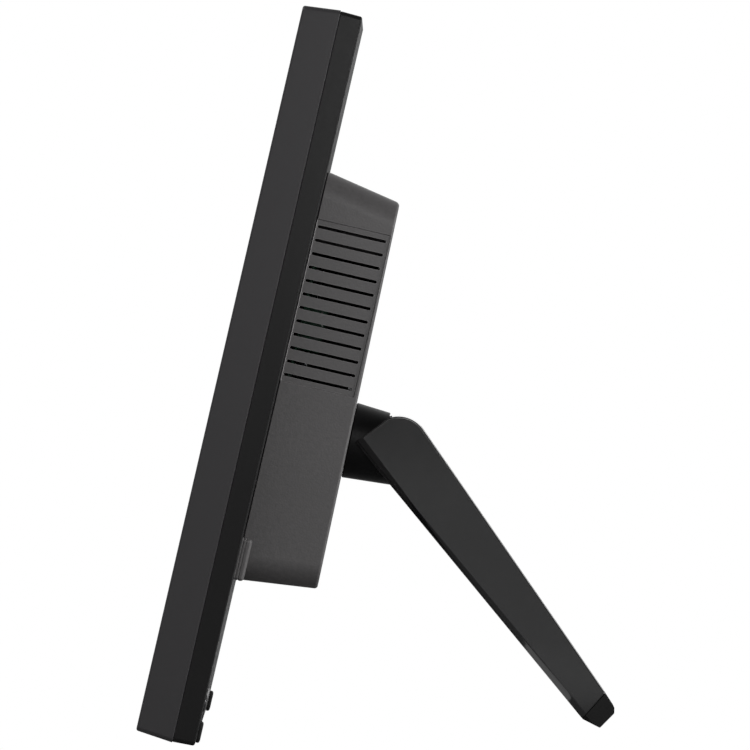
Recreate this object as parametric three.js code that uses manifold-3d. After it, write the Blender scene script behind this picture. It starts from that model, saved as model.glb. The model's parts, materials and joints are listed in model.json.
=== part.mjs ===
// A 15-inch digital photo frame: a slim screen housing with an electronics box behind it, held up
// by one tapered leg that hinges on a round neck. Millimetres, +Z up, screen facing -Y.
// Parts of the housing are drawn upright in the panel's own axes: x across, y backwards from the
// front face, z up the panel. Parts of the leg are drawn hanging down from the hinge axis.
import * as THREE from 'three';
import { mergeVertices } from 'three/addons/utils/BufferGeometryUtils.js';
import Module from 'manifold-3d';

const wasm = await Module();
wasm.setup();

// ---------------------------------------------------------------- driving dimensions
const TILT = THREE.MathUtils.degToRad(13); // how far the panel leans back
const GAP = 0.3; // clearance between neighbouring parts

const PANEL_W = 366;
const PANEL_H = 290.2;
const SEAM_Y = 14.8; // where the bezel meets the rear cover
const PANEL_T = 23.4;
const PANEL_R = 1.8; // outline corner radius
const FRONT_INSET = 1.4; // the bezel's sides draft in towards the front
const REAR_INSET = 0.6; // and the rear cover's towards the back
const WALL = 2.2;
const WINDOW_W = 306;
const WINDOW_H = 230;
const MID_Z = PANEL_H / 2;
const FACE_T = 2; // thickness of the bezel's face
const FACE_BACK = FACE_T + GAP; // where the pieces behind the face start
const INNER_R = 2; // corner radius inside the housing

const SCREW_HOLE_R = 1.8;
const BOSS_R = 5;

const BOX_W = 246;
const BOX_BOTTOM = 64.8; // outline where the box meets the rear cover
const BOX_TOP = 228.2;
const BOX_REAR_BOTTOM = 68.3; // outline of its rear face
const BOX_REAR_TOP = 222.5;
const BOX_REAR_Y = 54.9; // rear face at mid-height
const BOX_WEDGE = 0.0157; // the rear face comes forward this much per mm of height
const BOX_SIDE_DRAFT = 1.5;
const BOX_R = 10;
const BOX_MID_Z = (BOX_BOTTOM + BOX_TOP) / 2;
const BOX_OPENING = { w: 226, h: 132, z: 145, r: 6 }; // the rear cover's opening under the box

const SLOT_COUNT = 12;
const SLOT_PITCH = 5.38;
const SLOT_H = 1.2;
const SLOT_TOP = 206.7;
const SLOT_Y = [24.5, 51.9];
const RECESS = 0.4; // depth of the shallow field that the slots are cut in
const RECESS_Y = [24, 53];
const RECESS_MARGIN = 2.6; // the field's border above and below the slots

const PIVOT_Y = 76;
const PIVOT_Z = 127.9;
const NECK_Z = 125.7;
const NECK_BASE_R = 15.25;
const NECK_DRAFT = 0.07; // radius lost per mm
const NECK_SHOULDER_Y = 69.2;
const KNUCKLE_R = 8.1;
const KNUCKLE_HALF = 8.7;
const PIN_R = 2.5;

const LEG_REACH = 137.6; // hinge axis to the foot's lowest edge
const LEG_HALF = 17.6; // half width at the hinge
const LEG_TAPER = 0.001; // share of the width lost per mm of length
const LEG_WALL = 2.5;
const LEG_TOP = 12.1; // the squared end above the hinge axis
const LEG_REAR = [11.4, 9.7]; // distance behind the hinge-to-foot line, at each end of it
const LEG_FRONT = [-12.85, -3.15]; // and in front of it
const LEG_BEVEL = [3.4, 2.1]; // height of the bevel along the front edges
const LEG_BEVEL_X = 2;

// ---------------------------------------------------------------- materials
const finish = (color, roughness, metalness = 0) =>
  new THREE.MeshStandardMaterial({ color, roughness, metalness });
const bezelPlastic = finish(0x38373a, 0.5);
const coverPlastic = finish(0x232122, 0.6);
const boxPlastic = finish(0x484646, 0.75);
const glossPlastic = finish(0x101011, 0.15);
const rubber = finish(0x1c1c1c, 0.9);
const screenGlass = finish(0x08090b, 0.08);
const steel = finish(0x9a9a9c, 0.35, 1);
const darkSteel = finish(0x2c2c2e, 0.4, 1);
const aluminium = finish(0xb5b7ba, 0.4, 1);
const boardGreen = finish(0x1d5a36, 0.6);
const chipBlack = finish(0x18181a, 0.5);
const whitePlastic = finish(0xd8d8d2, 0.5);

// ---------------------------------------------------------------- solids
function solid(geometry) {
  const plain = geometry.clone();
  plain.deleteAttribute('normal');
  plain.deleteAttribute('uv');
  const merged = mergeVertices(plain, 1e-4);
  return new wasm.Manifold(new wasm.Mesh({
    numProp: 3,
    vertProperties: new Float32Array(merged.attributes.position.array),
    triVerts: new Uint32Array(merged.index.array),
  }));
}

function toGeometry(body) {
  const { vertProperties, triVerts } = body.getMesh();
  const geometry = new THREE.BufferGeometry();
  geometry.setAttribute('position', new THREE.BufferAttribute(vertProperties, 3));
  geometry.setIndex(new THREE.BufferAttribute(triVerts, 1));
  geometry.computeVertexNormals();
  return geometry;
}

const joined = (...shapes) => shapes.map(solid).reduce((a, b) => a.add(b));

const carve = (base, ...tools) =>
  toGeometry(tools.reduce((body, tool) => body.subtract(solid(tool)), base));

function mesh(name, geometry, material, group) {
  const part = new THREE.Mesh(geometry, material);
  part.name = name;
  group.add(part);
  return part;
}

function roundedRect(w, h, r) {
  const shape = new THREE.Shape();
  const [x, y] = [w / 2 - r, h / 2 - r];
  shape.absarc(x, y, r, 0, Math.PI / 2);
  shape.absarc(-x, y, r, Math.PI / 2, Math.PI);
  shape.absarc(-x, -y, r, Math.PI, 1.5 * Math.PI);
  shape.absarc(x, -y, r, 1.5 * Math.PI, 2 * Math.PI);
  shape.closePath();
  return shape;
}

// An upright outline given thickness from y0 back to y1, centred on x, z.
function slab(shape, y0, y1, x = 0, z = 0, curveSegments = 4) {
  const options = { depth: y1 - y0, bevelEnabled: false, curveSegments };
  const geometry = new THREE.ExtrudeGeometry(shape, options);
  return geometry.rotateX(Math.PI / 2).translate(x, y1, z);
}

const cornerSteps = (r) => Math.min(4, Math.ceil(r / 2));
const plate = (w, h, y0, y1, x = 0, z = 0, r = 1) =>
  slab(roundedRect(w, h, r), y0, y1, x, z, cornerSteps(r));

const block = (w, h, y0, y1, x, z) =>
  new THREE.BoxGeometry(w, y1 - y0, h).translate(x, (y0 + y1) / 2, z);

// A round bar whose axis runs front to back.
const bar = (r, y0, y1, x, z, sides = 12) =>
  new THREE.CylinderGeometry(r, r, y1 - y0, sides).translate(x, (y0 + y1) / 2, z);

// A round bar whose axis runs up the panel from z0 to z1.
const upright = (r, z0, z1, x, y, sides = 16) =>
  new THREE.CylinderGeometry(r, r, z1 - z0, sides).rotateX(Math.PI / 2).translate(x, y, (z0 + z1) / 2);

// A round bar whose axis runs across, along X.
const crossBar = (r, x0, x1, y, z, sides = 24) =>
  new THREE.CylinderGeometry(r, r, x1 - x0, sides).rotateZ(Math.PI / 2).translate((x0 + x1) / 2, y, z);

const outline = (points) => new THREE.Shape(points.map((p) => new THREE.Vector2(...p)));

// A side view in y and z given width from x0 to x1.
function sideProfile(shape, x0, x1, curveSegments = 6) {
  const options = { depth: x1 - x0, bevelEnabled: false, curveSegments };
  const geometry = new THREE.ExtrudeGeometry(shape, options);
  const acrossToX = new THREE.Matrix4().makeBasis(
    new THREE.Vector3(0, 1, 0),
    new THREE.Vector3(0, 0, 1),
    new THREE.Vector3(1, 0, 0),
  );
  return geometry.applyMatrix4(acrossToX).translate(x0, 0, 0);
}

function moveVertices(geometry, move) {
  const position = geometry.attributes.position;
  const point = new THREE.Vector3();
  for (let i = 0; i < position.count; i += 1) {
    point.fromBufferAttribute(position, i);
    move(point);
    position.setXYZ(i, point.x, point.y, point.z);
  }
  return geometry;
}

// A rounded slab whose outline changes evenly from one size at y0 to another at y1.
function drafted([w0, bottom0, top0], [w1, bottom1, top1], y0, y1, r) {
  const geometry = slab(roundedRect(w0, top0 - bottom0, r), y0, y1);
  return moveVertices(geometry, (p) => {
    const t = (p.y - y0) / (y1 - y0);
    const u = p.z / (top0 - bottom0) + 0.5;
    p.x *= THREE.MathUtils.lerp(1, w1 / w0, t);
    p.z = THREE.MathUtils.lerp(bottom0 + u * (top0 - bottom0), bottom1 + u * (top1 - bottom1), t);
  });
}

// A headed screw pointing forwards, its head's rear face at y.
function screw(x, y, z, length, headR = 2.9, headH = 2, shankR = 1.5) {
  const profile = [[0, -length], [shankR, -length], [shankR, -headH], [headR, -headH], [headR, 0], [0, 0]];
  return new THREE.LatheGeometry(profile.map((p) => new THREE.Vector2(...p)), 12).translate(x, y, z);
}

// ---------------------------------------------------------------- groups
const photoFrame = new THREE.Group();
const panel = new THREE.Group();
panel.rotation.x = -TILT;
photoFrame.add(panel);

// ---------------------------------------------------------------- shared places
const corners = (x, low, high) => [[-x, low], [x, low], [-x, high], [x, high]];
const coverScrewPlaces = corners(172, 11, PANEL_H - 11);
const boxScrewPlaces = corners(106, 86, 204);
const boardPostPlaces = corners(62, 92, 168).map(([x, z]) => [x - 22, z]);
const neckScrewPlaces = [90, 210, 330].map((degrees) => {
  const a = THREE.MathUtils.degToRad(degrees);
  return [9 * Math.cos(a), NECK_Z + 9 * Math.sin(a)];
});
const boxRearY = (z) => BOX_REAR_Y - BOX_WEDGE * (z - BOX_MID_Z);
const followBoxRear = (geometry) => moveVertices(geometry, (p) => {
  p.y += boxRearY(p.z) - BOX_REAR_Y;
});

const BUTTON = { w: 10, h: 7, z: 16.4, pitch: 13, rearY: 24.2, count: 6, firstX: 152 };
const buttonX = (i) => BUTTON.firstX - i * BUTTON.pitch;
const ROCKER = { w: 10, h: 16.6, x: 152, z: 74.2, rearY: 27.4 };
const SPEAKER = { w: 44, h: 20, x: 124, z: 44 };
const GRILLE = { w: 32, h: 1.6, pitch: 4 };
const CLEAR_Y = 80; // behind everything, where a cutter that goes right through ends
const BUMPER = { w: 16, h: 8, x: 152, z: 5, rise: 1.5 };
const IR = { x: 138, z: 14, w: 10.8, h: 4.2 };
const BOARD = { x: -24, w: 188, z: 126, h: 112, y: 26, t: 1.6 };
const DRIVER = { x: 93, w: 34, z: 145, h: 96 };
const ON_BOARD = BOARD.y + BOARD.t + GAP; // where the parts on the main board start
const driverPostPlaces = [-42, 42].map((up) => [DRIVER.x, DRIVER.z + up]);
const CHIP = { x: -30, z: 120 };
const CELL = { x: 34, z: 150 };
const RIBBON = { x: -24, w: 24, z: 190 };
const CARD_Z = 112;
const sockets = {
  usb: { x: -70, w: 14.5, depth: 14, y: [ON_BOARD, ON_BOARD + 7], mouthY: 31.4 },
  audio: { x: -38, w: 8, depth: 12, y: [ON_BOARD, ON_BOARD + 6.4], mouthY: 31.1 },
  power: { x: -8, w: 10, depth: 14, y: [ON_BOARD, ON_BOARD + 11], mouthY: 33.4 },
};
const SOCKET_Z = 69;

// ---------------------------------------------------------------- screen housing
function frontBezel() {
  const seam = [PANEL_W, 0, PANEL_H];
  const front = [PANEL_W - 2 * FRONT_INSET, FRONT_INSET, PANEL_H - FRONT_INSET];
  const sides = 2 * (WALL + FRONT_INSET);
  const inner = plate(PANEL_W - sides, PANEL_H - sides, FACE_T, SEAM_Y + 1, 0, MID_Z, INNER_R);
  const hollow = solid(drafted(front, seam, 0, SEAM_Y, PANEL_R)).subtract(solid(inner));
  const bosses = coverScrewPlaces.map(([x, z]) => solid(bar(BOSS_R - 1, FACE_T / 2, SEAM_Y - 1, x, z)));
  return carve(
    bosses.reduce((body, boss) => body.add(boss), hollow),
    plate(WINDOW_W, WINDOW_H, -1, FACE_T + 1, 0, MID_Z, 1.5),
    plate(IR.w + 2 * GAP, IR.h + 2 * GAP, -1, FACE_T + 1, IR.x, IR.z, 1.5),
    ...coverScrewPlaces.map(([x, z]) => bar(SCREW_HOLE_R, SEAM_Y / 2, SEAM_Y, x, z)),
  );
}

function rearCover() {
  const seam = [PANEL_W - 2 * GAP, GAP, PANEL_H - GAP];
  const rear = [PANEL_W - 2 * REAR_INSET, REAR_INSET, PANEL_H - REAR_INSET];
  const sides = 2 * (WALL + 1);
  const inner = plate(PANEL_W - sides, PANEL_H - sides, 0, PANEL_T - WALL, 0, MID_Z, INNER_R);
  const shell = solid(drafted(seam, rear, SEAM_Y + GAP, PANEL_T, PANEL_R)).subtract(solid(inner));
  const bosses = coverScrewPlaces.map(([x, z]) => solid(bar(BOSS_R, SEAM_Y + GAP, PANEL_T - 1, x, z)));
  const speakerSlots = [-1, 1].flatMap((side) => [-2, -1, 0, 1, 2].map((row) =>
    plate(GRILLE.w, GRILLE.h, SEAM_Y, CLEAR_Y, side * SPEAKER.x, SPEAKER.z + GRILLE.pitch * row, 0.6)));
  const buttonHoles = Array.from({ length: BUTTON.count }, (_, i) =>
    plate(BUTTON.w + 0.7, BUTTON.h + 0.7, SEAM_Y, CLEAR_Y, buttonX(i), BUTTON.z, 3.5));
  return carve(
    bosses.reduce((body, boss) => body.add(boss), shell),
    plate(BOX_OPENING.w, BOX_OPENING.h, 0, CLEAR_Y, 0, BOX_OPENING.z, BOX_OPENING.r),
    plate(ROCKER.w + 0.8, ROCKER.h + 1.2, SEAM_Y, CLEAR_Y, ROCKER.x, ROCKER.z, 1.5),
    ...speakerSlots,
    ...buttonHoles,
    ...coverScrewPlaces.map(([x, z]) => bar(SCREW_HOLE_R, 0, CLEAR_Y, x, z)),
    ...coverScrewPlaces.map(([x, z]) => bar(3.4, PANEL_T - 3.4, CLEAR_Y, x, z, 16)),
  );
}

mesh('front_bezel', frontBezel(), bezelPlastic, panel);
mesh('rear_cover', rearCover(), coverPlastic, panel);

// The screen's layers, each a border wider or narrower than the window.
const layer = (border, y0, y1, r) =>
  plate(WINDOW_W + 2 * border, WINDOW_H + 2 * border, y0, y1, 0, MID_Z, r);
const LCD_Y = [4, 10.4];
mesh('screen_window', layer(4, FACE_BACK, 3.7, 2), screenGlass, panel);
mesh('lcd_cell', layer(3, LCD_Y[0], 6.2, 1), screenGlass, panel);
mesh('light_guide', layer(4, 6.5, LCD_Y[1], 1), whitePlastic, panel);
mesh('lcd_frame', carve(solid(layer(10, ...LCD_Y, 2)), layer(6, 0, SEAM_Y, 1)), darkSteel, panel);
mesh('lcd_back_plate', layer(10, LCD_Y[1] + GAP, 11.7, 2), steel, panel);

// ---------------------------------------------------------------- chassis and boards
const CHASSIS_Y = [13.3, 14.6];
function chassisPlate() {
  const base = plate(290, 214, ...CHASSIS_Y, 0, MID_Z - 1.5, 6);
  const posts = [
    ...[...boardPostPlaces, ...driverPostPlaces].map(([x, z]) => bar(3, 13.5, BOARD.y - GAP, x, z)),
    ...boxScrewPlaces.map(([x, z]) => bar(4, 13.5, PANEL_T - 0.4, x, z)),
  ];
  return carve(
    posts.reduce((body, post) => body.add(solid(post)), solid(base)),
    plate(RIBBON.w + 8, 6, 0, SEAM_Y, RIBBON.x, RIBBON.z, 1),
    ...boxScrewPlaces.map(([x, z]) => bar(SCREW_HOLE_R, 16, 30, x, z)),
  );
}

mesh('chassis_plate', chassisPlate(), steel, panel);
mesh('main_board', carve(
  joined(
    plate(BOARD.w, BOARD.h, BOARD.y, BOARD.y + BOARD.t, BOARD.x, BOARD.z),
    block(RIBBON.w + 3, 5, BOARD.y + 1, BOARD.y + 3.6, RIBBON.x, RIBBON.z - 12),
  ),
  bar(BOSS_R + 0.5, 0, CLEAR_Y, ...boxScrewPlaces[0]),
), boardGreen, panel);
mesh('driver_board', toGeometry(joined(
  plate(DRIVER.w, DRIVER.h, BOARD.y, BOARD.y + BOARD.t, DRIVER.x, DRIVER.z),
  block(16, 18, BOARD.y + 1, 36, DRIVER.x, DRIVER.z + 22),
  block(12, 12, BOARD.y + 1, 37, DRIVER.x - 4, DRIVER.z - 24),
)), boardGreen, panel);

const SINK = { size: 34, y: [31, 33.5], finY: 44 };
const fins = [-3, -2, -1, 0, 1, 2, 3].map((i) =>
  block(1.4, SINK.size, SINK.y[1] - 0.5, SINK.finY, CHIP.x + 5 * i, CHIP.z));
const sinkBase = block(SINK.size, SINK.size, ...SINK.y, CHIP.x, CHIP.z);
mesh('processor_chip', plate(26, 26, ON_BOARD, SINK.y[0] - GAP, CHIP.x, CHIP.z), chipBlack, panel);
mesh('heatsink', toGeometry(joined(sinkBase, ...fins)), aluminium, panel);
mesh('battery_holder', carve(
  solid(bar(12.5, ON_BOARD, 31.5, CELL.x, CELL.z, 20)),
  bar(10.4, 29, 40, CELL.x, CELL.z, 20),
), chipBlack, panel);
mesh('coin_cell', bar(10, 29 + GAP, 32.5, CELL.x, CELL.z, 20), steel, panel);

// The ribbon runs up the back of the screen, through the chassis and down onto the main board.
function displayCable() {
  const [front, rear, t] = [12, 30, 0.8];
  const [low, high, connector] = [RIBBON.z - t / 2, RIBBON.z + t / 2, RIBBON.z - 14];
  const path = outline([
    [front, 150],
    [front + t, 150],
    [front + t, low],
    [rear, low],
    [rear, connector],
    [rear + t, connector],
    [rear + t, high],
    [front, high],
  ]);
  return sideProfile(path, RIBBON.x - RIBBON.w / 2, RIBBON.x + RIBBON.w / 2);
}

mesh('display_cable', displayCable(), whitePlastic, panel);

// ---------------------------------------------------------------- sockets
mesh('card_socket', carve(
  solid(block(28, 28, ON_BOARD, 32.2, -105.5, CARD_Z)),
  block(26, 24.6, 29, 31.3, -107, CARD_Z),
), steel, panel);

// A socket's body with its mouth cut out, and a contact left standing in the mouth.
function socket({ x, w, depth, y: [y0, y1] }, mouth, contact) {
  const body = solid(block(w, depth, y0, y1, x, SOCKET_Z + depth / 2)).subtract(solid(mouth));
  return toGeometry(contact ? body.add(solid(contact)) : body);
}

const { usb, audio, power } = sockets;
mesh('usb_socket', socket(
  usb,
  block(usb.w - 1.9, 22, usb.mouthY - 2.7, usb.mouthY + 2.7, usb.x, SOCKET_Z - 1),
  block(11, 9, usb.y[0] + 0.4, 30.6, usb.x, SOCKET_Z + 6.6),
), steel, panel);
mesh('audio_jack', socket(
  audio,
  upright(1.8, SOCKET_Z - 9, SOCKET_Z + 7, audio.x, audio.mouthY, 12),
), chipBlack, panel);
mesh('dc_inlet', socket(
  power,
  upright(2.9, SOCKET_Z - 10, SOCKET_Z + 8, power.x, power.mouthY),
  upright(0.9, SOCKET_Z + 1, SOCKET_Z + 11, power.x, power.mouthY, 8),
), chipBlack, panel);

// ---------------------------------------------------------------- electronics box
function electronicsCover() {
  const base = [BOX_W, BOX_BOTTOM, BOX_TOP];
  const rear = [BOX_W - 2 * BOX_SIDE_DRAFT, BOX_REAR_BOTTOM, BOX_REAR_TOP];
  const shrink = ([w, low, high]) => [w - 2 * WALL, low + WALL, high - WALL];
  const y0 = PANEL_T + GAP;
  const innerY = BOX_REAR_Y - WALL;
  const outer = followEdge(drafted(base, rear, y0, BOX_REAR_Y, BOX_R), BOX_REAR_Y);
  const inner = followEdge(drafted(shrink(base), shrink(rear), y0 - 1, innerY, BOX_R - WALL), innerY);
  const wells = boxScrewPlaces.map(([x, z]) => solid(bar(BOSS_R, y0, BOX_REAR_Y - 1.1, x, z)));
  return carve(
    wells.reduce((body, well) => body.add(well), solid(outer).subtract(solid(inner))),
    ...[-1, 1].flatMap(ventCutters),
    ...boxScrewPlaces.map(([x, z]) => bar(SCREW_HOLE_R, 0, CLEAR_Y, x, z)),
    ...boxScrewPlaces.map(([x, z]) => bar(3.5, 46, CLEAR_Y, x, z, 16)),
    ...neckScrewPlaces.map(([x, z]) => bar(SCREW_HOLE_R, 40, CLEAR_Y, x, z)),
    block(12, 25.4, 28.8, 31.5, -BOX_W / 2, CARD_Z),
    block(usb.w + 0.4, 12, usb.mouthY - 3.8, usb.mouthY + 3.8, usb.x, BOX_BOTTOM),
    upright(3.4, BOX_BOTTOM - 7, BOX_BOTTOM + 7, audio.x, audio.mouthY),
    upright(4.6, BOX_BOTTOM - 7, BOX_BOTTOM + 7, power.x, power.mouthY),
  );
}

// One side's vent slots and the shallow field around them, which follows the side's draft.
function ventCutters(side) {
  const lengthAndMiddle = ([y0, y1]) => [y1 - y0, (y0 + y1) / 2];
  const [slotLength, slotY] = lengthAndMiddle(SLOT_Y);
  const [fieldLength, fieldY] = lengthAndMiddle(RECESS_Y);
  const rise = SLOT_PITCH * (SLOT_COUNT - 1);
  const draft = Math.atan(BOX_SIDE_DRAFT / (BOX_REAR_Y - PANEL_T));
  const depth = 4;
  const fieldX = BOX_W / 2 - BOX_SIDE_DRAFT / 2 + depth / 2 - RECESS;
  const field = new THREE.BoxGeometry(depth, fieldLength, rise + 2 * RECESS_MARGIN)
    .rotateZ(side * draft)
    .translate(side * fieldX, fieldY, SLOT_TOP - rise / 2);
  const slots = Array.from({ length: SLOT_COUNT }, (_, i) =>
    new THREE.BoxGeometry(8, slotLength, SLOT_H)
      .translate((side * BOX_W) / 2, slotY, SLOT_TOP - i * SLOT_PITCH));
  return [field, ...slots];
}

// Tips the rear face's edge to follow the wedge and leaves the front edge where it is.
function followEdge(geometry, edgeY) {
  return moveVertices(geometry, (p) => {
    if (p.y > edgeY - 0.01) {
      p.y += boxRearY(p.z) - BOX_REAR_Y;
    }
  });
}

mesh('electronics_cover', electronicsCover(), boxPlastic, panel);
const neckPlateY = BOX_REAR_Y - WALL - GAP;
mesh('neck_plate', carve(
  solid(followBoxRear(plate(64, 56, neckPlateY - 2, neckPlateY, 0, NECK_Z, 4))),
  ...neckScrewPlaces.map(([x, z]) => bar(SCREW_HOLE_R, 40, CLEAR_Y, x, z)),
), steel, panel);

// ---------------------------------------------------------------- speakers, controls, trim
for (const [side, x] of [['left', -SPEAKER.x], ['right', SPEAKER.x]]) {
  const body = plate(SPEAKER.w, SPEAKER.h, 15, PANEL_T - WALL - GAP, x, SPEAKER.z, 9);
  mesh(`speaker_${side}`, body, chipBlack, panel);
}

const KEY_BOARD_Y = [15.4, 17];
const KEY_Y = 19.2; // front of the keys' flanges, clear of the switches by more than their travel
const tactSwitch = (x, z) => block(5, 5, KEY_BOARD_Y[1] - 0.5, 18.5, x, z);
mesh('button_board', toGeometry(joined(
  plate(84, 14, ...KEY_BOARD_Y, buttonX((BUTTON.count - 1) / 2), BUTTON.z, 1),
  ...Array.from({ length: BUTTON.count }, (_, i) => tactSwitch(buttonX(i), BUTTON.z)),
)), boardGreen, panel);
mesh('rocker_board', toGeometry(joined(
  plate(14, 26, ...KEY_BOARD_Y, ROCKER.x, ROCKER.z, 1),
  tactSwitch(ROCKER.x, ROCKER.z - 5.5),
  tactSwitch(ROCKER.x, ROCKER.z + 5.5),
)), boardGreen, panel);

function pushButton(x) {
  const cap = plate(BUTTON.w, BUTTON.h, KEY_Y + 0.1, BUTTON.rearY - 0.5, x, BUTTON.z, 3.4);
  const crown = plate(BUTTON.w - 1, BUTTON.h - 1, KEY_Y + 1, BUTTON.rearY, x, BUTTON.z, 2.9);
  const flange = plate(BUTTON.w + 2, BUTTON.h + 2, KEY_Y, KEY_Y + 1.2, x, BUTTON.z, 4);
  return toGeometry(joined(cap, crown, flange));
}
['power', 'menu', 'back', 'previous', 'next', 'play'].forEach((name, i) => {
  mesh(`${name}_button`, pushButton(buttonX(i)), glossPlastic, panel);
});

mesh('select_rocker', toGeometry(joined(
  plate(ROCKER.w, ROCKER.h, KEY_Y, ROCKER.rearY - 0.8, ROCKER.x, ROCKER.z, 1.2),
  plate(ROCKER.w - 1.6, ROCKER.h - 1.6, KEY_Y + 1, ROCKER.rearY, ROCKER.x, ROCKER.z, 1.2),
  plate(ROCKER.w + 2, ROCKER.h + 2.4, KEY_Y, KEY_Y + 1.1, ROCKER.x, ROCKER.z, 1.2),
)), boxPlastic, panel);

mesh('ir_window', toGeometry(joined(
  plate(IR.w, IR.h, 0.2, 3, IR.x, IR.z, 1.4),
  plate(IR.w + 3.2, IR.h + 2.8, FACE_BACK, FACE_BACK + 1, IR.x, IR.z, 1),
)), glossPlastic, panel);
mesh('ir_sensor', toGeometry(joined(
  block(8, 7, 3.6, 7.4, IR.x, IR.z),
  block(16, 9, 7.2, 8.6, IR.x, IR.z),
)), chipBlack, panel);

for (const [side, x] of [['left', -BUMPER.x], ['right', BUMPER.x]]) {
  mesh(`bumper_${side}`, toGeometry(joined(
    plate(BUMPER.w, BUMPER.h, PANEL_T + GAP, PANEL_T + BUMPER.rise - 0.5, x, BUMPER.z, 2),
    plate(BUMPER.w - 1.2, BUMPER.h - 1.2, PANEL_T + GAP, PANEL_T + BUMPER.rise, x, BUMPER.z, 2),
  )), rubber, panel);
}

// ---------------------------------------------------------------- neck of the stand
function standNeck() {
  const baseY = BOX_REAR_Y + GAP;
  const radiusAt = (y) => NECK_BASE_R - NECK_DRAFT * (y - BOX_REAR_Y);
  const profile = [
    [0, baseY],
    [radiusAt(baseY), baseY],
    [radiusAt(PIVOT_Y), PIVOT_Y],
    [0, PIVOT_Y],
  ].map((p) => new THREE.Vector2(...p));
  const cone = new THREE.LatheGeometry(profile, 32).translate(0, 0, NECK_Z);
  moveVertices(cone, (p) => {
    if (p.y < baseY + 0.01) {
      p.y += boxRearY(p.z) - BOX_REAR_Y;
    }
  });
  const beside = (side) => new THREE.BoxGeometry(20, 20, 60)
    .translate(side * (KNUCKLE_HALF + 10), NECK_SHOULDER_Y + 10, NECK_Z);
  const above = new THREE.BoxGeometry(60, 20, 20).translate(0, NECK_SHOULDER_Y + 10, PIVOT_Z + 10);
  const trims = [beside(-1), beside(1), above];
  const trimmed = trims.reduce((body, tool) => body.subtract(solid(tool)), solid(cone));
  const knuckle = crossBar(KNUCKLE_R, -KNUCKLE_HALF, KNUCKLE_HALF, PIVOT_Y, PIVOT_Z);
  const web = new THREE.BoxGeometry(2 * KNUCKLE_HALF, PIVOT_Y - NECK_SHOULDER_Y + 2, 2 * KNUCKLE_R)
    .translate(0, (PIVOT_Y + NECK_SHOULDER_Y - 2) / 2, PIVOT_Z);
  return carve(
    trimmed.add(solid(knuckle)).add(solid(web)),
    crossBar(PIN_R + GAP, -30, 30, PIVOT_Y, PIVOT_Z, 20),
    ...neckScrewPlaces.map(([x, z]) => bar(SCREW_HOLE_R, 40, BOX_REAR_Y + 7, x, z)),
  );
}

mesh('stand_neck', standNeck(), glossPlastic, panel);

// ---------------------------------------------------------------- fasteners of the housing
coverScrewPlaces.forEach(([x, z], i) => {
  mesh(`cover_screw_${i + 1}`, screw(x, PANEL_T - 1.1, z, 12), darkSteel, panel);
});
boxScrewPlaces.forEach(([x, z], i) => {
  mesh(`box_screw_${i + 1}`, screw(x, 48.3, z, 31), darkSteel, panel);
});
neckScrewPlaces.forEach(([x, z], i) => {
  const pointingBack = screw(0, 0, 0, 11, 2.9, 1.8).rotateZ(Math.PI);
  mesh(`neck_screw_${i + 1}`, pointingBack.translate(x, boxRearY(z) - 6.6, z), steel, panel);
});

// ---------------------------------------------------------------- leg
const toWorldZ = PIVOT_Z * Math.cos(TILT) - PIVOT_Y * Math.sin(TILT);
const lowestPanelZ = REAR_INSET * Math.cos(TILT) - PANEL_T * Math.sin(TILT);
const LEG_ANGLE = Math.acos((toWorldZ - lowestPanelZ) / LEG_REACH); // from upright, foot on the surface

const leg = new THREE.Group();
leg.position.set(0, PIVOT_Y, PIVOT_Z).applyAxisAngle(new THREE.Vector3(1, 0, 0), -TILT);
leg.rotation.x = LEG_ANGLE;
photoFrame.add(leg);

// The leg's own axes: x across, y to its rear edge, z up along it from the foot to the hinge.
const along = ([atHinge, atFoot], z) => THREE.MathUtils.lerp(atHinge, atFoot, -z / LEG_REACH);
const rearY = (z) => along(LEG_REAR, z);
const frontY = (z) => along(LEG_FRONT, z);

const narrow = (geometry) => moveVertices(geometry, (p) => {
  p.x *= 1 + LEG_TAPER * p.z;
});

const HEEL = [[9.75, -127.6], [-3.4, -130.6]]; // the slanting line where the rubber foot starts
const CROWN = { y: -0.4, z: 0.75, r: 11.8 }; // the rounded rear corner over the hinge
const CROWN_END = Math.asin((LEG_TOP - CROWN.z) / CROWN.r);
const COVER = { top: -18, bottom: -123.6, t: 2 }; // the front cover's ends, measured from the hinge
const END_WALL = -124; // where the leg's hollow ends

function legOutline(inset, end, topZ, foot) {
  const shape = outline(foot);
  shape.absarc(CROWN.y, CROWN.z, CROWN.r - inset, 0, end, false);
  shape.lineTo(CROWN.y + (CROWN.r - inset) * Math.cos(end), topZ);
  shape.lineTo(frontY(topZ), topZ);
  shape.closePath();
  return shape;
}

// Wedges that take the bevel off both front edges. y is drawn in heights of the bevel.
function bevelCutters() {
  return [-1, 1].map((side) => {
    const [x0, x1] = [LEG_HALF - LEG_BEVEL_X, LEG_HALF + 5];
    const section = outline([[x0, 0], [x0, -4], [x1, -4], [x1, 3.5]].map(([x, y]) => [side * x, y]));
    const wedge = new THREE.ExtrudeGeometry(section, { depth: 170, bevelEnabled: false });
    wedge.translate(0, 0, -LEG_REACH - 8.4);
    return moveVertices(wedge, (p) => {
      p.y = frontY(p.z) + p.y * along(LEG_BEVEL, p.z);
    });
  });
}

const bevelled = (body) =>
  bevelCutters().reduce((left, cutter) => left.subtract(solid(cutter)), body);

const LEG_SCREWS_Z = [-62, -112];
const HOLLOW = LEG_HALF - LEG_WALL; // half width inside
const legHoles = (y0, y1) => LEG_SCREWS_Z.map((z) => bar(SCREW_HOLE_R, y0, y1, 0, z));

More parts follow.
